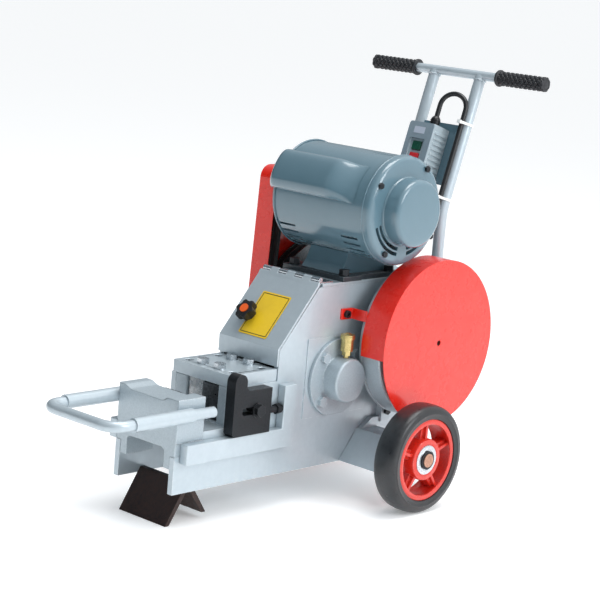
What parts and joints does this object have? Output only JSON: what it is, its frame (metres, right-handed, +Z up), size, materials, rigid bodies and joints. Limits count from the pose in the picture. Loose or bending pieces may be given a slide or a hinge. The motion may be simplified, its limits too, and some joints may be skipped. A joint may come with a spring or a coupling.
{
  "type": "rebar cutter",
  "caption": "Wheeled electric rebar cutter: plate frame with ram and blades, belt-driven flywheel and gear, motor on top, push handle, carrying handle",
  "frame": {"origin": "on the ground, under the middle of the machine's bounding box", "axes": "X runs across the machine towards the flywheel side, Y runs from the jaw to the push handle, and Z is up"},
  "size_m": [0.5, 0.936, 0.789],
  "materials": {
    "silver_enamel": "silver-grey enamel on steel plate",
    "silver_casting": "silver-grey enamel on a rough casting",
    "dark_enamel": "dark grey enamel",
    "motor_enamel": "gloss blue-grey enamel",
    "red_enamel": "bright red enamel on sheet steel",
    "red_casting": "red enamel on a cast wheel",
    "tool_steel": "ground tool steel",
    "machined_steel": "oiled machined steel",
    "axle_steel": "turned axle end with a copper tint",
    "raw_steel": "hot-rolled steel with mill scale",
    "black_oxide": "black oxide",
    "zinc_fasteners": "bright zinc plate",
    "painted_fasteners": "silver-grey enamel over the bolt heads",
    "yellow_zinc": "yellow-passivated plate",
    "cast_iron": "bare cast iron",
    "black_plastic": "black moulded plastic",
    "grey_plastic": "light grey moulded plastic",
    "green_plastic": "green push button",
    "red_plastic": "red push button",
    "black_rubber": "black rubber",
    "belt_rubber": "belt rubber",
    "tyre_rubber": "solid rubber tyre"
  },
  "bodies": {
    "frame": {"side_plate_right": "silver_enamel", "side_plate_left": "silver_enamel", "body_shell": "silver_enamel", "front_block": "silver_casting", "fixed_blade": "tool_steel", "ram_guide": "silver_casting", "top_plate": "silver_enamel", "top_plate_bolts": "zinc_fasteners", "top_plate_screws": "zinc_fasteners", "rail_right": "silver_enamel", "rail_left": "silver_enamel", "front_foot": "raw_steel", "axle_bracket": "silver_enamel", "stub_axles": "axle_steel", "axle_clips": "black_oxide", "bearing_caps": "silver_casting", "bearing_cap_bolts": "painted_fasteners", "oil_cup": "yellow_zinc", "shaft_housings": "silver_casting", "lid_hinge": "zinc_fasteners", "motor_base": "dark_enamel", "motor_bolts": "black_oxide", "motor_shell": "motor_enamel", "motor_stator": "machined_steel", "motor_end_bells": "motor_enamel", "motor_fan_cover": "motor_enamel", "capacitor_cover": "motor_enamel", "drive_belt": "belt_rubber", "belt_guard": "red_enamel", "flywheel_cover": "red_enamel", "side_screws": "black_oxide", "stop_lock_bolt": "black_oxide", "carry_sleeves": "silver_enamel", "push_handle": "silver_enamel", "handle_grips": "black_rubber", "switch_plate": "motor_enamel", "switch_box": "grey_plastic", "switch_cable": "black_rubber"},
    "ram_unit": {"ram": "machined_steel", "moving_blade": "tool_steel"},
    "crank_unit": {"crankshaft": "machined_steel", "main_gear": "machined_steel"},
    "rod_unit": {"connecting_rod": "cast_iron"},
    "flywheel_unit": {"flywheel_shaft": "machined_steel", "flywheel": "silver_casting", "driven_pulley": "cast_iron"},
    "rotor_unit": {"motor_rotor": "machined_steel", "motor_pulley": "cast_iron"},
    "lid_unit": {"inspection_lid": "silver_enamel"},
    "knob_unit": {"lid_knob": "black_plastic"},
    "oiler_lid_unit": {"oil_cup_lid": "yellow_zinc"},
    "stop_unit": {"stop_plate": "black_oxide"},
    "adjuster_unit": {"stop_adjuster": "black_oxide"},
    "carry_unit": {"carry_handle": "silver_enamel"},
    "wheel_right_unit": {"wheel_rims_right": "red_casting", "tyre_right": "tyre_rubber"},
    "wheel_left_unit": {"wheel_rims_left": "red_casting", "tyre_left": "tyre_rubber"},
    "on_button_unit": {"on_button": "green_plastic"},
    "off_button_unit": {"off_button": "red_plastic"}
  },
  "joints": [
    {"name": "flywheel_spin", "type": "hinge", "parent": "frame", "child": "flywheel_unit", "pos_m": [0, 0.26116, 0.2903], "axis": [1, 0, 0], "continuous": true},
    {"name": "crank_spin", "type": "hinge", "parent": "frame", "child": "crank_unit", "pos_m": [0, 0.0845, 0.226], "axis": [1, 0, 0], "continuous": true},
    {"name": "rod_swing", "type": "hinge", "parent": "crank_unit", "child": "rod_unit", "pos_m": [0, 0.1105, 0.226], "axis": [1, 0, 0], "continuous": true},
    {"name": "rotor_spin", "type": "hinge", "parent": "frame", "child": "rotor_unit", "pos_m": [0, 0.167, 0.536], "axis": [1, 0, 0], "continuous": true},
    {"name": "ram_slide", "type": "slide", "parent": "frame", "child": "ram_unit", "axis": [0, -1, 0], "range_m": [0, 0.052]},
    {"name": "wheel_right_spin", "type": "hinge", "parent": "frame", "child": "wheel_right_unit", "pos_m": [0.224, 0.161, 0.1], "axis": [1, 0, 0], "continuous": true},
    {"name": "wheel_left_spin", "type": "hinge", "parent": "frame", "child": "wheel_left_unit", "pos_m": [-0.224, 0.161, 0.1], "axis": [1, 0, 0], "continuous": true},
    {"name": "lid_hinge_turn", "type": "hinge", "parent": "frame", "child": "lid_unit", "pos_m": [0, 0.03, 0.407], "axis": [-1, 0, 0], "range_deg": [0, 110]},
    {"name": "knob_turn", "type": "hinge", "parent": "lid_unit", "child": "knob_unit", "pos_m": [-0.032, -0.03816, 0.33044], "axis": [0, -0.7623, 0.6472], "continuous": true},
    {"name": "oiler_lid_turn", "type": "hinge", "parent": "frame", "child": "oiler_lid_unit", "pos_m": [0.098, 0.0978, 0.3076], "axis": [-1, 0, 0], "range_deg": [0, 95]},
    {"name": "stop_slide", "type": "slide", "parent": "frame", "child": "stop_unit", "axis": [0, -1, 0], "range_m": [0, 0.008]},
    {"name": "adjuster_slide", "type": "slide", "parent": "frame", "child": "adjuster_unit", "axis": [0, -1, 0], "range_m": [0, 0.008]},
    {"name": "carry_handle_slide", "type": "slide", "parent": "frame", "child": "carry_unit", "axis": [0, -1, 0], "range_m": [0, 0.05]},
    {"name": "on_button_press", "type": "slide", "parent": "frame", "child": "on_button_unit", "axis": [0, 0.9551, -0.2962], "range_m": [0, 0.003], "stiffness_N_per_m": 400},
    {"name": "off_button_press", "type": "slide", "parent": "frame", "child": "off_button_unit", "axis": [0, 0.9551, -0.2962], "range_m": [0, 0.003], "stiffness_N_per_m": 400}
  ],
  "couplings": [
    {"joint": "crank_spin", "follows": "flywheel_spin", "ratio": -0.34286},
    {"joint": "rod_swing", "follows": "flywheel_spin", "ratio": 0.34286},
    {"joint": "rotor_spin", "follows": "flywheel_spin", "ratio": 4},
    {"joint": "adjuster_slide", "follows": "stop_slide", "ratio": 1}
  ]
}
